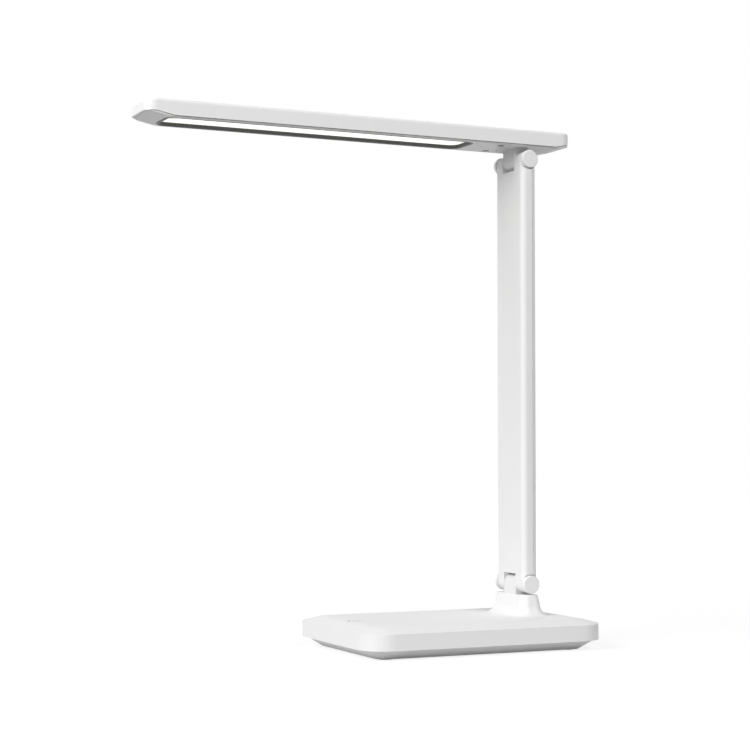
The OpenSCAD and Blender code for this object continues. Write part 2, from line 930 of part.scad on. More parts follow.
module arm_back_cover() {
    seam = arm_seam_x + arm_gap;
    lip_y = arm_w / 2 - arm_shell_t - fit;
    z0 = slot_depth + arm_shell_t + fit;
    color("white")
        at_lower_pivot() {
            intersection() {
                arm_hull();
                translate([seam, -arm_w, -arm_t])
                    cube([arm_t, 2 * arm_w, pivot_span + 2 * arm_t]);
            }
            // lips that locate the cover in the front shell
            both_sides()
                translate([seam - lip_h, lip_y - lip_t, 2 * z0])
                    cube([lip_h + arm_t / 2 - arm_shell_t - seam, lip_t, pivot_span - 4 * z0]);
        }
}

module arm_spine() {
    z0 = web_z + steel_t + fit;
    color("silver")
        at_lower_pivot()
            difference() {
                translate([spine_x, -spine_w / 2, z0])
                    cube([steel_t, spine_w, pivot_span - 2 * z0]);
                arm_screw_places()
                    arm_screw_hole();
            }
}

module arm_screw_places() {
    for (end = [0, 1], step = arm_screw_steps)
        translate([0, 0, end * pivot_span + (1 - 2 * end) * (web_z + steel_t + step * tab_l)])
            children();
}

module arm_screw_hole() {
    translate([spine_x - cut, 0, 0])
        rotate([0, 90, 0])
            cylinder(r = arm_screw_r + screw_fit, h = 2 * steel_t + 2 * cut);
}

// Bent steel bracket: two plates with the pin holes, a web, and a tab on the spine
module bracket() {
    difference() {
        union() {
            both_sides()
                translate([0, plate_y + steel_t, 0])
                    rotate([90, 0, 0])
                        linear_extrude(steel_t) {
                            circle(bracket_r);
                            translate([-bracket_r, 0])
                                square([2 * bracket_r, web_z + steel_t]);
                        }
            translate([-bracket_r, -plate_y - steel_t, web_z])
                cube([2 * bracket_r, 2 * (plate_y + steel_t), steel_t]);
            translate([tab_x, -tab_w / 2, web_z + steel_t])
                cube([steel_t, tab_w, tab_l]);
        }
        bar_y(pin_r + press_fit, -arm_w, arm_w);
        for (step = arm_screw_steps)
            translate([0, 0, web_z + steel_t + step * tab_l])
                arm_screw_hole();
    }
}

module lower_bracket() {
    color("silver")
        at_lower_pivot()
            bracket();
}

module upper_bracket() {
    color("silver")
        at_upper_pivot()
            bracket();
}

module arm_screws() {
    color("gray")
        at_lower_pivot()
            arm_screw_places()
                translate([tab_x + steel_t + arm_screw_head_t, 0, 0])
                    rotate([0, -90, 0])
                        screw_up(arm_screw_r, 2 * steel_t, arm_screw_head_r, arm_screw_head_t);
}

// Lead through the arm, from inside the lower pin to inside the upper pin
module arm_lead() {
    color("dimgray")
        at_lower_pivot() {
            translate([0, arm_lead_y, 0])
                cylinder(r = lead_r, h = pivot_span);
            for (z = [0, pivot_span])
                translate([0, 0, z]) {
                    bar_y(lead_r, arm_lead_end_y, arm_lead_y);
                    translate([0, arm_lead_y, 0])
                        sphere(lead_r);
                }
        }
}

// ---------- Hinge stacks ----------

module hinge_pin() {
    difference() {
        bar_y(pin_r, -pin_end_y, pin_end_y);
        bar_y(pin_hole_d / 2, -pin_end_y - cut, pin_end_y + cut);
        translate([0, 0, -pin_d])
            cylinder(r = pin_hole_d / 2, h = pin_d);
    }
}

module lower_pin() {
    color("silver")
        at_lower_pivot()
            hinge_pin();
}

module upper_pin() {
    color("silver")
        at_upper_pivot()
            hinge_pin();
}

module pin_nuts() {
    both_sides()
        ring_y(nut_r, pin_r + press_fit, nut_y, pin_end_y);
}

module lower_nuts() {
    color("gray")
        at_lower_pivot()
            pin_nuts();
}

module upper_nuts() {
    color("gray")
        at_upper_pivot()
            pin_nuts();
}

module spring_washers() {
    both_sides()
        ring_y(washer_r, pin_r + press_fit, spring_y, nut_y);
}

module lower_spring_washers() {
    color("goldenrod")
        at_lower_pivot()
            spring_washers();
}

module upper_spring_washers() {
    color("goldenrod")
        at_upper_pivot()
            spring_washers();
}

module friction_washers() {
    both_sides()
        ring_y(washer_r, pin_r + pin_fit, slot_y - washer_t, slot_y);
}

module lower_friction_washers() {
    color("tan")
        at_lower_pivot()
            friction_washers();
}

module upper_friction_washers() {
    color("tan")
        at_upper_pivot()
            friction_washers();
}

// Round cap with a softened rim and a plug that holds it in the ear
module cap() {
    cap_r = cap_d / 2;
    out = arm_w / 2 + cap_proud;
    rotate([-90, 0, 0])
        rotate_extrude() {
            translate([0, ear_pocket_y])
                square([cap_plug_r, cap_seat_y - ear_pocket_y]);
            translate([0, cap_seat_y])
                square([cap_r, out - cap_rim_r - cap_seat_y]);
            translate([0, out - cap_rim_r])
                square([cap_r - cap_rim_r, cap_rim_r]);
            intersection() {
                translate([cap_r - cap_rim_r, out - cap_rim_r])
                    circle(cap_rim_r);
                translate([cap_r - cap_rim_r, out - cap_rim_r])
                    square(cap_rim_r);
            }
        }
}

module lower_cap_left() {
    color("white")
        at_lower_pivot()
            cap();
}

module lower_cap_right() {
    color("white")
        at_lower_pivot()
            mirror([0, 1, 0])
                cap();
}

module upper_cap_left() {
    color("white")
        at_upper_pivot()
            cap();
}

module upper_cap_right() {
    color("white")
        at_upper_pivot()
            mirror([0, 1, 0])
                cap();
}

// ---------- Swivel between the arm and the head ----------

module upper_knuckle() {
    color("whitesmoke")
        difference() {
            union() {
                at_upper_pivot()
                    tongue(head_drop);
                translate([pivot_x, 0, under_z])
                    cylinder(r = swivel_r, h = swivel_t);
                translate([pivot_x, 0, swivel_top_z])
                    cylinder(r = stud_r, h = stud_top_z - swivel_top_z);
            }
            translate([pivot_x, 0, upper_pivot_z])
                cylinder(r = lead_hole_r, h = stud_top_z);
        }
}

module swivel_spring() {
    color("goldenrod")
        translate([pivot_x, 0, swivel_seat_z])
            difference() {
                cylinder(r = swivel_nut_r, h = swivel_spring_t);
                translate([0, 0, -cut])
                    cylinder(r = stud_r + pin_fit, h = swivel_spring_t + 2 * cut);
            }
}

module swivel_nut() {
    color("gray")
        translate([pivot_x, 0, swivel_seat_z + swivel_spring_t])
            difference() {
                cylinder(r = swivel_nut_r, h = swivel_nut_t);
                translate([0, 0, -cut])
                    cylinder(r = stud_r + press_fit, h = swivel_nut_t + 2 * cut);
            }
}

// Lead from the upper pin up through the hollow stud
module swivel_lead() {
    start = upper_pivot_z + pin_r + lead_end;
    color("dimgray")
        translate([pivot_x, 0, start])
            cylinder(r = lead_r, h = stud_top_z - start);
}

// ---------- Head ----------

// Side view of the head above its underside, lifted by a height. The seam's line rises at
// both ends, and at the free end the underside rises straight on through it.
module head_side(rise, top) {
    z = under_z + rise;
    far = pivot_x - head_reach;
    near = pivot_x + head_tail;
    ramp_l = tip_l + bevel_l;
    intersection() {
        polygon([
            [far - cut, z + bevel_rise],
            [far + tip_l, z + bevel_rise],
            [far + ramp_l, z],
            [near - rear_bevel_l, z],
            [near + cut, z + bevel_rise * (1 + cut / rear_bevel_l)],
            [near + cut, top],
            [far - cut, top],
        ]);
        polygon([
            [far - 2 * cut, under_z + end_rise * (1 + 2 * cut / ramp_l)],
            [far + ramp_l, under_z],
            [far + ramp_l, under_z - cut],
            [near + 2 * cut, under_z - cut],
            [near + 2 * cut, top + cut],
            [far - 2 * cut, top + cut],
        ]);
    }
}

module head_band(rise, top) {
    translate([0, head_w, 0])
        rotate([90, 0, 0])
            linear_extrude(2 * head_w)
                head_side(rise, top);
}

// Layer between two heights above the underside, that rises with it at both ends
module head_layer(low, high) {
    translate([0, head_w, 0])
        rotate([90, 0, 0])
            linear_extrude(2 * head_w)
                difference() {
                    head_side(low, head_top_z);
                    head_side(high, head_top_z + cut);
                }
}

// Rim of the upper shell, with a round upper edge, offset inwards by t
module head_outline(t, z0) {
    r = head_corner_r - t;
    top = head_top_z - t;
    round_r = max(head_top_r - t, inner_round_r);
    translate([0, z0])
        square([r, top - round_r - z0]);
    translate([0, z0])
        square([r - round_r, top - z0]);
    intersection() {
        translate([r - round_r, top - round_r])
            circle(round_r);
        translate([r - round_r, top - round_r])
            square(round_r);
    }
}

module head_form(t, z0) {
    translate([head_cx, 0, 0])
        swept(head_l - 2 * t, head_w - 2 * t, head_corner_r - t, z0, head_top_z - t)
            head_outline(t, z0);
}

module head_screw_places() {
    for (sy = [-1, 1])
        translate([pivot_x - head_screw_x, sy * head_screw_y, 0])
            children();
}

module head_shell() {
    color("white")
        difference() {
            union() {
                intersection() {
                    difference() {
                        head_form(0, under_z);
                        head_form(head_shell_t, under_z - cut);
                    }
                    head_band(head_seam_h + seam_gap / 2, head_top_z + cut);
                }
                head_screw_places()
                    translate([0, 0, head_post_z + fit])
                        cylinder(r = head_post_r - post_step,
                                 h = head_roof_z - head_post_z - fit + cut);
            }
            head_screw_places()
                translate([0, 0, under_z])
                    cylinder(r = head_screw_r + screw_fit, h = head_roof_z - under_z);
        }
}

// Rim of the lower cover: a soft lower edge, cut off at the seam
module head_cover_outline() {
    flat_r = head_cover_r - cover_edge_r;
    translate([0, under_z])
        square([flat_r, head_cover_top_z - under_z]);
    translate([0, seam_z])
        square([head_cover_r, head_cover_top_z - seam_z]);
    intersection() {
        translate([flat_r, under_z + head_low_r])
            circle(head_low_r);
        translate([flat_r, under_z])
            square([cover_edge_r, head_seam_h]);
    }
}

// Opening in plan, grown by a margin
module light_plan(grow) {
    translate([light_cx, 0])
        rounded(light_l + 2 * grow, light_w + 2 * grow, light_corner_r + grow);
}

module head_cover() {
    inner = head_shell_t + fit;
    color("white")
        difference() {
            union() {
                // outer skin, up to the seam
                intersection() {
                    translate([head_cx, 0, 0])
                        swept(head_l - 2 * cover_side, head_w - 2 * cover_side, head_cover_r,
                              under_z, head_cover_top_z)
                            head_cover_outline();
                    head_layer(0, head_seam_h - seam_gap / 2);
                }
                // floor that lies inside the shell
                intersection() {
                    translate([head_cx, 0, under_z])
                        linear_extrude(head_cover_top_z - under_z)
                            rounded(head_l - 2 * inner, head_w - 2 * inner,
                                    head_corner_r - inner);
                    head_layer(head_seam_h - seam_gap, head_cover_t);
                }
                // seat of the swivel and posts of the head screws
                translate([pivot_x, 0, under_z + head_cover_t - cut])
                    cylinder(r = swivel_r + swivel_rim,
                             h = swivel_seat_z - under_z - head_cover_t + cut);
                head_screw_places()
                    translate([0, 0, under_z + cut])
                        cylinder(r = head_post_r, h = head_post_z - under_z - cut);
            }
            translate([0, 0, under_z - cut])
                linear_extrude(bevel_rise + 4 * cut)
                    light_plan(frame_t + fit / 2);
            // room for the end of the diffuser over the ramp
            translate([0, 0, diffuser_z - fit])
                linear_extrude(bevel_rise + 4 * cut)
                    light_plan(diffuser_out + fit);
            translate([pivot_x, 0, under_z - cut]) {
                cylinder(r = swivel_r + swivel_gap, h = swivel_t + cut);
                cylinder(r = stud_r + pin_fit, h = 4 * swivel_t);
            }
            head_screw_places() {
                translate([0, 0, under_z - cut])
                    cylinder(r = head_hole_r, h = cut + head_screw_sink + head_screw_head_t);
                translate([0, 0, under_z])
                    cylinder(r = head_screw_r + screw_fit, h = head_wall_h);
            }
        }
}

// Dark frame that lines the opening and holds the diffuser. Its lower edge follows the
// ramp of the cover, and its flange ends where the ramp starts.
module glare_frame() {
    color("dimgray")
        difference() {
            union() {
                intersection() {
                    translate([0, 0, under_z])
                        linear_extrude(diffuser_z - under_z)
                            light_plan(frame_t);
                    head_band(0, head_top_z);
                }
                translate([0, 0, frame_flange_z])
                    linear_extrude(frame_flange_t)
                        intersection() {
                            light_plan(frame_t + frame_flange_out);
                            translate([pivot_x - head_reach + tip_l + bevel_l, -head_w / 2])
                                square([head_l, head_w]);
                        }
            }
            translate([0, 0, under_z - cut])
                linear_extrude(light_depth + 2 * cut)
                    light_plan(0);
        }
}

module diffuser() {
    color("ivory")
        translate([0, 0, diffuser_z])
            linear_extrude(diffuser_t)
                light_plan(diffuser_out);
}

module led_board() {
    color("whitesmoke")
        translate([light_cx, 0, led_board_z])
            linear_extrude(led_board_t)
                rounded(led_board_l, led_board_w, board_corner_r);
}

module leds() {
    pitch = led_board_l / led_count;
    color("gold")
        for (i = [0 : led_count - 1], sy = [-1, 1])
            translate([light_cx + (i - (led_count - 1) / 2) * pitch - led_l / 2,
                       sy * led_row_y - led_w / 2,
                       led_board_z - led_h])
                cube([led_l, led_w, led_h]);
}

module heat_spreader() {
    color("silver")
        translate([light_cx, 0, spreader_z])
            linear_extrude(spreader_t)
                rounded(led_board_l + 2 * spreader_over, led_board_w + 2 * spreader_over,
                        board_corner_r + spreader_over);
}

module head_screws() {
    color("silver")
        head_screw_places()
            translate([0, 0, under_z + head_screw_sink])
                screw_up(head_screw_r, head_screw_l, head_screw_head_r, head_screw_head_t);
}

// Lead from the hollow stud to the light board
module head_lead() {
    start = light_cx + led_board_l / 2;
    color("dimgray")
        translate([start, 0, led_board_z + led_board_t / 2])
            rotate([0, 90, 0])
                cylinder(r = head_lead_r, h = pivot_x - start);
}

base_shell();
base_cover();
base_feet();
base_screws();
counterweight();
touch_mark();
touch_spring();
touch_board();
touch_lead();
control_board();
control_parts();
board_screws();
power_inlet();
inlet_lead();
neck();
lower_knuckle();
neck_screws();
neck_lead();
arm_front_shell();
arm_back_cover();
arm_spine();
lower_bracket();
upper_bracket();
arm_screws();
arm_lead();
lower_pin();
upper_pin();
lower_nuts();
upper_nuts();
lower_spring_washers();
upper_spring_washers();
lower_friction_washers();
upper_friction_washers();
lower_cap_left();
lower_cap_right();
upper_cap_left();
upper_cap_right();
upper_knuckle();
swivel_spring();
swivel_nut();
swivel_lead();
head_shell();
head_cover();
glare_frame();
diffuser();
led_board();
leds();
heat_spreader();
head_screws();
head_lead();
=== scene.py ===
"""Folding LED desk lamp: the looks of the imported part, in metres, in its own frame."""
import json
from math import cos, pi, radians, sin

import bmesh
import bpy
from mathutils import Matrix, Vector


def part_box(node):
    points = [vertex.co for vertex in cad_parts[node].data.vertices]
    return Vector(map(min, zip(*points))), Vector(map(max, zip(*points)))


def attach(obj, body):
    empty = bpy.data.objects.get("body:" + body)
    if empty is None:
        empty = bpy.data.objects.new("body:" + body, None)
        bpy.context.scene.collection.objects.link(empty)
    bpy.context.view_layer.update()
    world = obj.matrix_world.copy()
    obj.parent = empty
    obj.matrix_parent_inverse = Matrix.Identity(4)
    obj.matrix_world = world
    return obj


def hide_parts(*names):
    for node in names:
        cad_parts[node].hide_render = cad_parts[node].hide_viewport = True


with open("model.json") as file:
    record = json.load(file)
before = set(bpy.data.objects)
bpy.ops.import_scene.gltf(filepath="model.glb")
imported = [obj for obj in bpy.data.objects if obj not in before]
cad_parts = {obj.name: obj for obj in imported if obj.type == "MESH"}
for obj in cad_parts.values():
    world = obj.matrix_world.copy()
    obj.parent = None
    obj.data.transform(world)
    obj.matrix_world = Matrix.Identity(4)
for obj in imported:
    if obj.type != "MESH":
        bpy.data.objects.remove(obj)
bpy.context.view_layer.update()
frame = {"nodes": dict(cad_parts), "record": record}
MM = 0.001
PHOTO_PX = 750          # width of the photograph
FOCAL_PX = 1769         # its focal length in pixels
SENSOR_MM = 36
FLOOR_HALF = 6          # half the floor's side
# The floor near the lamp and far off: two distances, then a value at each
BOUNCE = (0.15, 0.5, 0.6, 0.3)
GLOW = (0.3, 1.1, 0.84, 1.0)
FOOT_D = 12             # sizes of the pieces that repeat, in mm
SCREW_HEAD_R = 2.65
SCREW_R = 1.3
LIGHT_L = 3.5
LIGHT_W = 2.8
TURN_STEPS = 48         # corners of a turned form


# ---------- camera, lights, floor ----------

def add_camera():
    """The photograph's camera, solved from the lamp's straight edges."""
    data = bpy.data.cameras.new("camera")
    data.sensor_width = SENSOR_MM
    data.lens = SENSOR_MM * FOCAL_PX / PHOTO_PX
    data.clip_end = 30
    camera = bpy.data.objects.new("camera", data)
    camera.location = (-0.60825, -1.17795, 0.1474)
    camera.rotation_euler = (radians(92.41), 0, radians(-24.92))
    bpy.context.scene.collection.objects.link(camera)
    bpy.context.scene.camera = camera


def add_softbox(name, place, target, size, watts):
    """A square-on area lamp that looks from its place at a target."""
    data = bpy.data.lights.new(name, "AREA")
    data.shape = "RECTANGLE"
    data.size, data.size_y = size
    data.energy = watts
    lamp = bpy.data.objects.new(name, data)
    lamp.location = place
    lamp.rotation_euler = (Vector(target) - Vector(place)).to_track_quat("-Z", "Y").to_euler()
    bpy.context.scene.collection.objects.link(lamp)


def add_lights():
    """A key lamp in front, three soft lamps at the user's end and a dim room."""
    middle = (0, 0, 0.15)
    add_softbox("key", (0.25, -2.5, 2.0), middle, (1.6, 1.2), 53)
    add_softbox("side_high", (-2.4, -0.3, 1.9), middle, (1.4, 1.2), 23)
    add_softbox("side_wide", (-2.2, 0.7, 1.5), middle, (1.8, 1.6), 20)
    add_softbox("side_front", (-2.4, -1.0, 1.2), middle, (1.4, 1.2), 32)
    add_room(0.04)


def add_room(strength):
    """An even white room: weak as a light, plain white to the camera."""
    world = bpy.data.worlds.new("studio")
    bpy.context.scene.world = world
    world.use_nodes = True
    tree = world.node_tree
    tree.nodes.clear()
    out = tree.nodes.new("ShaderNodeOutputWorld")
    mix = tree.nodes.new("ShaderNodeMixShader")
    room = tree.nodes.new("ShaderNodeBackground")
    room.inputs["Color"].default_value = (1, 1, 1, 1)
    room.inputs["Strength"].default_value = strength
    seen = tree.nodes.new("ShaderNodeBackground")
    seen.inputs["Color"].default_value = (1, 1, 1, 1)
    tree.links.new(seen_mask(tree.nodes, tree.links.new), mix.inputs[0])
    tree.links.new(room.outputs[0], mix.inputs[1])
    tree.links.new(seen.outputs[0], mix.inputs[2])
    tree.links.new(mix.outputs[0], out.inputs["Surface"])


def seen_mask(nodes, link):
    """1 where the camera looks, straight or by way of metal or glass, otherwise 0."""
    path = nodes.new("ShaderNodeLightPath").outputs
    mirrored = math_node(nodes, link, "MAXIMUM",
                         path["Is Glossy Ray"], path["Is Transmission Ray"])
    return math_node(nodes, link, "MAXIMUM", path["Is Camera Ray"], mirrored)


def ramp(nodes, link, value, start, end, first, last):
    """Turns a value between start and end smoothly into one between first and last."""
    node = nodes.new("ShaderNodeMapRange")
    node.interpolation_type = "SMOOTHSTEP"
    for label, number in (("From Min", start), ("From Max", end), ("To Min", first),
                          ("To Max", last)):
        node.inputs[label].default_value = number
    link(value, node.inputs["Value"])
    return node.outputs[0]


def add_floor():
    """A wide pale floor, white to the camera, that keeps the lamp's shadow.

    Near the lamp it throws more light up under the base. Further off it glows more, so that
    it ends in the white of the room with no line.
    """
    mesh = bpy.data.meshes.new("floor")
    corners = [(-1, -1), (1, -1), (1, 1), (-1, 1)]
    mesh.from_pydata([(x * FLOOR_HALF, y * FLOOR_HALF, 0) for x, y in corners],
                     [], [(0, 1, 2, 3)])
    floor = bpy.data.objects.new("floor", mesh)
    bpy.context.scene.collection.objects.link(floor)
    mat, nodes, link = new_material("floor_white")
    out = nodes["Material Output"]
    place = nodes.new("ShaderNodeTexCoord").outputs["Object"]
    away = nodes.new("ShaderNodeVectorMath")
    away.operation = "LENGTH"
    link(place, away.inputs[0])
    lit = nodes.new("ShaderNodeBsdfDiffuse")
    link(ramp(nodes, link, away.outputs["Value"], *BOUNCE), lit.inputs["Color"])
    soft = nodes.new("ShaderNodeBsdfDiffuse")
    soft.inputs["Color"].default_value = (0.25, 0.25, 0.25, 1)
    glow = nodes.new("ShaderNodeEmission")
    link(ramp(nodes, link, away.outputs["Value"], *GLOW), glow.inputs["Strength"])
    both = nodes.new("ShaderNodeAddShader")
    mix = nodes.new("ShaderNodeMixShader")
    link(soft.outputs[0], both.inputs[0])
    link(glow.outputs[0], both.inputs[1])
    link(seen_mask(nodes, link), mix.inputs[0])
    link(lit.outputs[0], mix.inputs[1])
    link(both.outputs[0], mix.inputs[2])
    link(mix.outputs[0], out.inputs["Surface"])
    mesh.materials.append(mat)


# ---------- materials ----------

def new_material(name):
    """A material with its node tree, cleared down to the output: (material, nodes, link)."""
    mat = bpy.data.materials.new(name)
    mat.use_nodes = True
    tree = mat.node_tree
    tree.nodes.clear()
    tree.nodes.new("ShaderNodeOutputMaterial").name = "Material Output"
    return mat, tree.nodes, tree.links.new


def math_node(nodes, link, kind, first, second):
    node = nodes.new("ShaderNodeMath")
    node.operation = kind
    for socket, value in zip(node.inputs, (first, second)):
        if isinstance(value, (int, float)):
            socket.default_value = value
        else:
            link(value, socket)
    return node.outputs[0]


def new_group(name, inputs, outputs):
    """An empty shader group: (tree, its input node, its output node).

    The inputs map a name to (kind, default), the outputs a name to a kind.
    """
    tree = bpy.data.node_groups.new(name, "ShaderNodeTree")
    for label, (kind, value) in inputs.items():
        socket = tree.interface.new_socket(label, in_out="INPUT", socket_type=kind)
        socket.default_value = value
    for label, kind in outputs.items():
        tree.interface.new_socket(label, in_out="OUTPUT", socket_type=kind)
    return tree, tree.nodes.new("NodeGroupInput"), tree.nodes.new("NodeGroupOutput")


FLOAT = "NodeSocketFloat"
COLOR = "NodeSocketColor"


def moulded_skin_group():
    """Fine spark-eroded grain, slow waviness of the moulding and a faint drift of tone."""
    tree, given, result = new_group(
        "moulded skin",
        {"Color": (COLOR, (0.8, 0.8, 0.8, 1)), "Drift": (FLOAT, 0.02), "Roughness": (FLOAT, 0.45),
         "Grain size": (FLOAT, 0.4), "Waviness": (FLOAT, 0.3)},
        {"Color": COLOR, "Roughness": FLOAT, "Height": FLOAT})
    nodes, link = tree.nodes, tree.links.new
    place = nodes.new("ShaderNodeTexCoord").outputs["Object"]
    scale = math_node(nodes, link, "DIVIDE", 1000.0, given.outputs["Grain size"])
    grain = nodes.new("ShaderNodeTexNoise")
    grain.inputs["Detail"].default_value = 3
    link(place, grain.inputs["Vector"])
    link(scale, grain.inputs["Scale"])
    wave = nodes.new("ShaderNodeTexNoise")
    wave.inputs["Scale"].default_value = 28
    wave.inputs["Detail"].default_value = 1
    link(place, wave.inputs["Vector"])
    tone = nodes.new("ShaderNodeTexNoise")
    tone.inputs["Scale"].default_value = 9
    tone.inputs["Detail"].default_value = 2
    link(place, tone.inputs["Vector"])
    centred = math_node(nodes, link, "SUBTRACT", tone.outputs["Fac"], 0.5)
    drift = math_node(nodes, link, "MULTIPLY", centred, given.outputs["Drift"])
    gain = math_node(nodes, link, "ADD", drift, 1.0)
    scaled = nodes.new("ShaderNodeVectorMath")
    scaled.operation = "SCALE"
    link(given.outputs["Color"], scaled.inputs[0])
    link(gain, scaled.inputs["Scale"])
    link(scaled.outputs[0], result.inputs["Color"])
    matt = math_node(nodes, link, "MULTIPLY", grain.outputs["Fac"], 0.16)
    rough = math_node(nodes, link, "ADD", matt, given.outputs["Roughness"])
    link(math_node(nodes, link, "SUBTRACT", rough, 0.08), result.inputs["Roughness"])
    slow = math_node(nodes, link, "MULTIPLY", wave.outputs["Fac"], given.outputs["Waviness"])
    link(math_node(nodes, link, "ADD", grain.outputs["Fac"], slow), result.inputs["Height"])
    return tree


def moulded(name, color, roughness, grain=0.4, drift=0.02, waviness=0.3, bump=0.03, depth=0.02,
            **plain):
    """Plastic, rubber or coated casting with the moulded skin group."""
    mat, nodes, link = new_material(name)
    skin = nodes.new("ShaderNodeGroup")
    skin.node_tree = GROUPS["skin"]
    skin.inputs["Color"].default_value = (*color, 1)
    skin.inputs["Drift"].default_value = drift
    skin.inputs["Roughness"].default_value = roughness
    skin.inputs["Grain size"].default_value = grain
    skin.inputs["Waviness"].default_value = waviness
    relief = nodes.new("ShaderNodeBump")
    relief.inputs["Strength"].default_value = bump
    relief.inputs["Distance"].default_value = depth * MM
    shader = nodes.new("ShaderNodeBsdfPrincipled")
    for label, value in plain.items():
        shader.inputs[label].default_value = value
    link(skin.outputs["Color"], shader.inputs["Base Color"])
    link(skin.outputs["Roughness"], shader.inputs["Roughness"])
    link(skin.outputs["Height"], relief.inputs["Height"])
    link(relief.outputs[0], shader.inputs["Normal"])
    link(shader.outputs[0], nodes["Material Output"].inputs["Surface"])
    return mat


def brushed(name, color, roughness, axis=(1, 1, 40), streak=0.12):
    """Bare metal with fine drawn streaks."""
    mat, nodes, link = new_material(name)
    place = nodes.new("ShaderNodeTexCoord").outputs["Object"]
    stretch = nodes.new("ShaderNodeMapping")
    stretch.inputs["Scale"].default_value = axis
    grain = nodes.new("ShaderNodeTexNoise")
    grain.inputs["Scale"].default_value = 60
    grain.inputs["Detail"].default_value = 4
    link(place, stretch.inputs["Vector"])
    link(stretch.outputs[0], grain.inputs["Vector"])
    matt = nodes.new("ShaderNodeMapRange")
    matt.inputs["To Min"].default_value = roughness - streak
    matt.inputs["To Max"].default_value = roughness + streak
    link(grain.outputs["Fac"], matt.inputs["Value"])
    tone = nodes.new("ShaderNodeMixRGB")
    tone.inputs["Color1"].default_value = (*[c * 0.85 for c in color], 1)
    tone.inputs["Color2"].default_value = (*color, 1)
    link(grain.outputs["Fac"], tone.inputs["Fac"])
    shader = nodes.new("ShaderNodeBsdfPrincipled")
    shader.inputs["Metallic"].default_value = 1
    link(tone.outputs[0], shader.inputs["Base Color"])
    link(matt.outputs[0], shader.inputs["Roughness"])
    link(shader.outputs[0], nodes["Material Output"].inputs["Surface"])
    return mat


def lit_diffuser():
    """Opal sheet lit from behind: even warm white with fine prisms."""
    mat, nodes, link = new_material("diffuser_lit")
    place = nodes.new("ShaderNodeTexCoord").outputs["Object"]
    prism = nodes.new("ShaderNodeTexVoronoi")
    prism.inputs["Scale"].default_value = 1400
    link(place, prism.inputs["Vector"])
    tone = nodes.new("ShaderNodeMixRGB")
    tone.inputs["Color1"].default_value = (1.0, 0.985, 0.93, 1)
    tone.inputs["Color2"].default_value = (1.0, 0.975, 0.9, 1)
    link(prism.outputs["Distance"], tone.inputs["Fac"])
    relief = nodes.new("ShaderNodeBump")
    relief.inputs["Strength"].default_value = 0.05
    relief.inputs["Distance"].default_value = 0.02 * MM
    shader = nodes.new("ShaderNodeBsdfPrincipled")
    shader.inputs["Roughness"].default_value = 0.5
    shader.inputs["Emission Strength"].default_value = 0.86
    link(tone.outputs[0], shader.inputs["Base Color"])
    link(tone.outputs[0], shader.inputs["Emission Color"])
    link(prism.outputs["Distance"], relief.inputs["Height"])
    link(relief.outputs[0], shader.inputs["Normal"])
    link(shader.outputs[0], nodes["Material Output"].inputs["Surface"])
    return mat


GROUPS = {"skin": moulded_skin_group()}
FINISHES = {
    "white_plastic": moulded("white_plastic", (0.83, 0.83, 0.83), 0.42),
    "white_cast": moulded("white_cast", (0.8, 0.8, 0.8), 0.38, grain=0.9, waviness=0.1, bump=0.06),
    "diffuser_opal": lit_diffuser(),
    # Dark grey glare frame, taken darker still as painted shade for the deep recess wall.
    "frame_grey": moulded("frame_grey", (0.055, 0.055, 0.055), 0.55),
    # A paler copy of frame_grey for the frame's flat lip: painted light on the lip.
    "frame_lip_painted_light": moulded("frame_lip_painted_light", (0.17, 0.17, 0.17), 0.55),
    "screw_dark": moulded("screw_dark", (0.04, 0.04, 0.042), 0.5, Metallic=0.5),
    "mark_grey": moulded("mark_grey", (0.1, 0.1, 0.1), 0.5, drift=0.1),
    "foot_rubber": moulded("foot_rubber", (0.05, 0.05, 0.05), 0.75, grain=0.25, bump=0.2),
    "dark_plastic": moulded("dark_plastic", (0.03, 0.03, 0.03), 0.5, drift=0.2),
    "steel": brushed("steel", (0.55, 0.55, 0.56), 0.35),
    "weight_iron": moulded("weight_iron", (0.2, 0.2, 0.21), 0.6, grain=1.2, drift=0.4, bump=0.4,
                           depth=0.1, Metallic=1.0),
    "contact_brass": brushed("contact_brass", (0.78, 0.6, 0.3), 0.3),
    "board_green": moulded("board_green", (0.04, 0.22, 0.1), 0.35, drift=0.25),
    "board_aluminium": moulded("board_aluminium", (0.85, 0.85, 0.84), 0.4),
    "spreader_aluminium": brushed("spreader_aluminium", (0.7, 0.7, 0.71), 0.4, (40, 1, 1)),
    "light_source": moulded("light_source", (0.95, 0.82, 0.4), 0.3),
    "washer_nylon": moulded("washer_nylon", (0.75, 0.72, 0.65), 0.5),
    "lead_black": moulded("lead_black", (0.04, 0.04, 0.04), 0.6, drift=0.2),
}
SLOT_OF = {entry["node"]: entry["material_slot"] for entry in frame["record"]["subparts"]}
BODY_OF = {node: body for body, nodes in frame["record"]["behaviour"]["bodies"].items()
           for node in nodes}


def paint_cad_nodes():
    for node, obj in frame["nodes"].items():
        obj.data.materials.clear()
        obj.data.materials.append(FINISHES[SLOT_OF[node]])


# ---------- meshes ----------

def new_piece(name, bm, node):
    """Makes a piece from a finished mesh, in the finish of a CAD node."""
    mesh = bpy.data.meshes.new(name)
    bm.to_mesh(mesh)
    bm.free()
    obj = bpy.data.objects.new(name, mesh)
    bpy.context.scene.collection.objects.link(obj)
    obj.data.materials.append(FINISHES[SLOT_OF[node]])
    return obj


def soften(obj, width, angle=34):
    """Rounds the sharp edges and smooths the rest."""
    obj.data.polygons.foreach_set("use_smooth", [True] * len(obj.data.polygons))
    if width:
        edge = obj.modifiers.new("edges", "BEVEL")
        edge.width = width * MM
        edge.segments = 3
        edge.limit_method = "ANGLE"
        edge.angle_limit = radians(angle)
        edge.use_clamp_overlap = True
    even = obj.modifiers.new("normals", "WEIGHTED_NORMAL")
    even.keep_sharp = False
    even.weight = 50


def settle(obj, node):
    """The piece stands for a CAD node, and rides on its body."""
    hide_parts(node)
    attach(obj, BODY_OF[node])


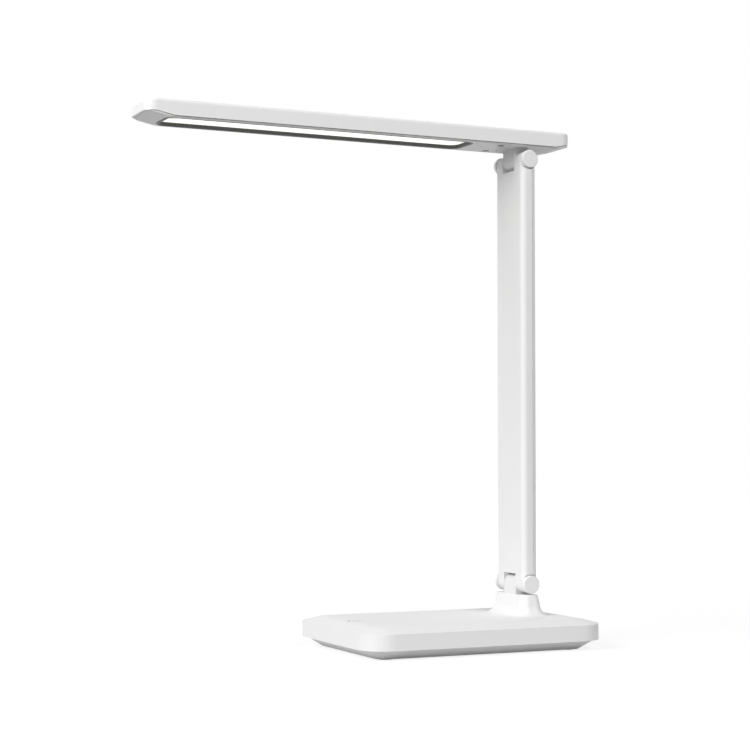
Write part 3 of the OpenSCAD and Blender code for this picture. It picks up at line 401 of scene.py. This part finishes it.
def cad_copy(node, width, angle=34):
    """A piece with the CAD node's own shape, its edges softened as a moulding's are."""
    bm = bmesh.new()
    bm.from_mesh(frame["nodes"][node].data)
    bmesh.ops.remove_doubles(bm, verts=bm.verts, dist=1e-7)
    bmesh.ops.dissolve_limit(bm, angle_limit=radians(0.6), verts=bm.verts, edges=bm.edges)
    obj = new_piece(node + "_skin", bm, node)
    soften(obj, width, angle)
    settle(obj, node)
    return obj


def paint_lip_paler(obj):
    """Paints the frame's flat, downward-facing lip paler than its inner wall: painted light, for a
    lip that catches more light than the shaded wall.
    """
    obj.data.materials.append(FINISHES["frame_lip_painted_light"])
    for face in obj.data.polygons:
        if face.normal.z < -0.5:
            face.material_index = 1


# ---------- pieces that repeat ----------

def lathe(profile):
    """A turned form about Z from (radius, height) pairs in mm, from axis to axis."""
    steps = TURN_STEPS
    bm = bmesh.new()
    rings = []
    for radius, height in profile:
        if radius == 0:
            rings.append([bm.verts.new((0, 0, height * MM))])
        else:
            rings.append([bm.verts.new((radius * MM * cos(2 * pi * i / steps),
                                        radius * MM * sin(2 * pi * i / steps), height * MM))
                          for i in range(steps)])
    for low, high in zip(rings, rings[1:]):
        for i in range(steps):
            j = (i + 1) % steps
            corners = [low[i % len(low)], low[j % len(low)], high[j % len(high)],
                       high[i % len(high)]]
            bm.faces.new(list(dict.fromkeys(corners)))
    bmesh.ops.recalc_face_normals(bm, faces=bm.faces)
    return bm


def cross_pit(bm, height, reach, width, depth):
    """Sinks a cross recess into the flat face of a screw that looks down at a height."""
    hub = next(v for v in bm.verts
               if len(v.link_edges) == TURN_STEPS and abs(v.co.z - height * MM) < 1e-7)
    rim = [e for f in hub.link_faces for e in f.edges if hub not in e.verts]
    bmesh.ops.delete(bm, geom=[hub], context="VERTS")
    w = width / 2
    outline = [(reach, -w), (reach, w), (w, w), (w, reach), (-w, reach), (-w, w),
               (-reach, w), (-reach, -w), (-w, -w), (-w, -reach), (w, -reach), (w, -w)]
    top = [bm.verts.new((x * MM, y * MM, height * MM)) for x, y in outline]
    taper = 0.7
    low = [bm.verts.new((x * taper * MM, y * taper * MM, (height + depth) * MM))
           for x, y in outline]
    count = len(outline)
    edges = [bm.edges.new((top[i], top[(i + 1) % count])) for i in range(count)]
    for i in range(count):
        j = (i + 1) % count
        bm.faces.new((top[i], top[j], low[j], low[i]))
    bm.faces.new(low)
    bmesh.ops.triangle_fill(bm, use_beauty=True, edges=edges + rim)
    bmesh.ops.recalc_face_normals(bm, faces=bm.faces)
    return bm


def grid_tree():
    """Sets copies of the form it is given on a grid: pitch and number along and across."""
    tree = bpy.data.node_groups.new("copies on a grid", "GeometryNodeTree")
    face = tree.interface
    face.new_socket("Form", in_out="INPUT", socket_type="NodeSocketGeometry")
    face.new_socket("Middle", in_out="INPUT", socket_type="NodeSocketVector")
    for label in ("Pitch along", "Pitch across"):
        face.new_socket(label, in_out="INPUT", socket_type=FLOAT)
    for label in ("Number along", "Number across"):
        face.new_socket(label, in_out="INPUT", socket_type="NodeSocketInt")
    face.new_socket("Finish", in_out="INPUT", socket_type="NodeSocketMaterial")
    face.new_socket("Row", in_out="OUTPUT", socket_type="NodeSocketGeometry")
    given = tree.nodes.new("NodeGroupInput")
    result = tree.nodes.new("NodeGroupOutput")
    nodes, link = tree.nodes, tree.links.new
    grid = nodes.new("GeometryNodeMeshGrid")
    for way, side, count in (("along", "Size X", "Vertices X"),
                             ("across", "Size Y", "Vertices Y")):
        gaps = math_node(nodes, link, "SUBTRACT", given.outputs["Number " + way], 1.0)
        link(math_node(nodes, link, "MULTIPLY", gaps, given.outputs["Pitch " + way]),
             grid.inputs[side])
        link(given.outputs["Number " + way], grid.inputs[count])
    place = nodes.new("GeometryNodeInstanceOnPoints")
    move = nodes.new("GeometryNodeTransform")
    real = nodes.new("GeometryNodeRealizeInstances")
    paint = nodes.new("GeometryNodeSetMaterial")
    link(grid.outputs["Mesh"], place.inputs["Points"])
    link(given.outputs["Form"], place.inputs["Instance"])
    link(place.outputs[0], move.inputs["Geometry"])
    link(given.outputs["Middle"], move.inputs["Translation"])
    link(move.outputs[0], real.inputs[0])
    link(real.outputs[0], paint.inputs["Geometry"])
    link(given.outputs["Finish"], paint.inputs["Material"])
    link(paint.outputs[0], result.inputs["Row"])
    return tree


def repeated(name, form, node, middle, pitch, number, finish=None, smooth=True):
    """A row or field of one form, made by the grid tree, in place of a CAD node."""
    mesh = bpy.data.meshes.new(name)
    form.to_mesh(mesh)
    form.free()
    obj = bpy.data.objects.new(name, mesh)
    bpy.context.scene.collection.objects.link(obj)
    tree = GROUPS["grid"]
    row = obj.modifiers.new("copies", "NODES")
    row.node_group = tree
    values = {"Middle": tuple(c * MM for c in middle), "Pitch along": pitch[0] * MM,
              "Pitch across": pitch[1] * MM, "Number along": number[0],
              "Number across": number[1], "Finish": FINISHES[finish or SLOT_OF[node]]}
    for item in tree.interface.items_tree:
        if item.in_out == "INPUT" and item.name in values:
            row[item.identifier] = values[item.name]
    bpy.context.view_layer.update()
    graph = bpy.context.evaluated_depsgraph_get()
    done = bpy.data.meshes.new_from_object(obj.evaluated_get(graph))
    obj.modifiers.clear()
    obj.data = done
    done.polygons.foreach_set("use_smooth", [smooth] * len(done.polygons))
    if smooth:
        done.set_sharp_from_angle(angle=radians(32))
    settle(obj, node)


def middle_and_pitch(node, width, number):
    """Of a CAD node's field of equal pieces, in mm: middle, pitch, lowest and highest level."""
    low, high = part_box(node)
    middle, pitch = [], []
    for i in range(2):
        middle.append((low[i] + high[i]) / 2 / MM)
        gaps = number[i] - 1
        pitch.append(((high[i] - low[i]) / MM - width[i]) / gaps if gaps else 0.0)
    return middle, pitch, low[2] / MM, high[2] / MM


def rubber_feet():
    """Four pads with a rounded rim and a shallow dish, each with a ring to grip the table."""
    middle, pitch, low, high = middle_and_pitch("base_feet", (FOOT_D, FOOT_D), (2, 2))
    t = high - low
    form = lathe([(0, 0.35), (3.2, 0.3), (3.5, 0.05), (3.8, 0), (5.2, 0), (5.6, 0.1), (5.88, 0.35),
                  (FOOT_D / 2, 0.7), (FOOT_D / 2, t), (0, t)])
    repeated("feet", form, "base_feet", (*middle, low), pitch, (2, 2))


def cross_screws():
    """The two pan head screws, seen in their holes under the head."""
    middle, pitch, low, high = middle_and_pitch(
        "head_screws", (2 * SCREW_HEAD_R, 2 * SCREW_HEAD_R), (1, 2))
    h = high - low
    form = lathe([(0, 0), (2.2, 0), (2.5, 0.1), (SCREW_HEAD_R, 0.35), (SCREW_HEAD_R, 1.6),
                  (SCREW_R, 1.6), (SCREW_R, h - 0.4), (0.9, h), (0, h)])
    repeated("screws_under_head", cross_pit(form, 0, 1.5, 0.6, 0.9), "head_screws",
             (*middle, low), pitch, (1, 2), "screw_dark")


def light_sources():
    """Two rows of small packages: a cup with a sunken face towards the diffuser, all in the CAD
    node's one finish.
    """
    number = (24, 2)
    middle, pitch, low, high = middle_and_pitch("leds", (LIGHT_L, LIGHT_W), number)
    bm = bmesh.new()
    h = high - low
    levels = [(1.75, 1.4, h), (1.75, 1.4, 0.12), (1.66, 1.31, 0), (1.35, 1.0, 0), (1.2, 0.85, 0.1)]
    rings = [[bm.verts.new((sx * x * MM, sy * y * MM, z * MM))
              for sx, sy in ((-1, -1), (1, -1), (1, 1), (-1, 1))] for x, y, z in levels]
    for low_ring, high_ring in zip(rings, rings[1:]):
        for i in range(4):
            j = (i + 1) % 4
            bm.faces.new((low_ring[i], low_ring[j], high_ring[j], high_ring[i]))
    bm.faces.new(rings[0])
    bm.faces.new(rings[-1])
    bmesh.ops.recalc_face_normals(bm, faces=bm.faces)
    repeated("light_sources", bm, "leds", (*middle, low), pitch, number, smooth=False)


bpy.context.scene.view_settings.view_transform = "Standard"
add_camera()
add_lights()
add_floor()
paint_cad_nodes()
for node, width in (
    ("base_shell", 0.4), ("base_cover", 0.5), ("neck", 0.4), ("lower_knuckle", 0.4),
    ("arm_front_shell", 0.25), ("arm_back_cover", 0.25), ("lower_cap_left", 0.2),
    ("lower_cap_right", 0.2), ("upper_cap_left", 0.2), ("upper_cap_right", 0.2),
    ("upper_knuckle", 0.3), ("head_shell", 0.25), ("head_cover", 0.2), ("glare_frame", 0.15),
):
    piece = cad_copy(node, width)
    # The frame's lip gets the paler grey: painted light.
    if node == "glare_frame":
        paint_lip_paler(piece)
GROUPS["grid"] = grid_tree()
rubber_feet()
cross_screws()
light_sources()
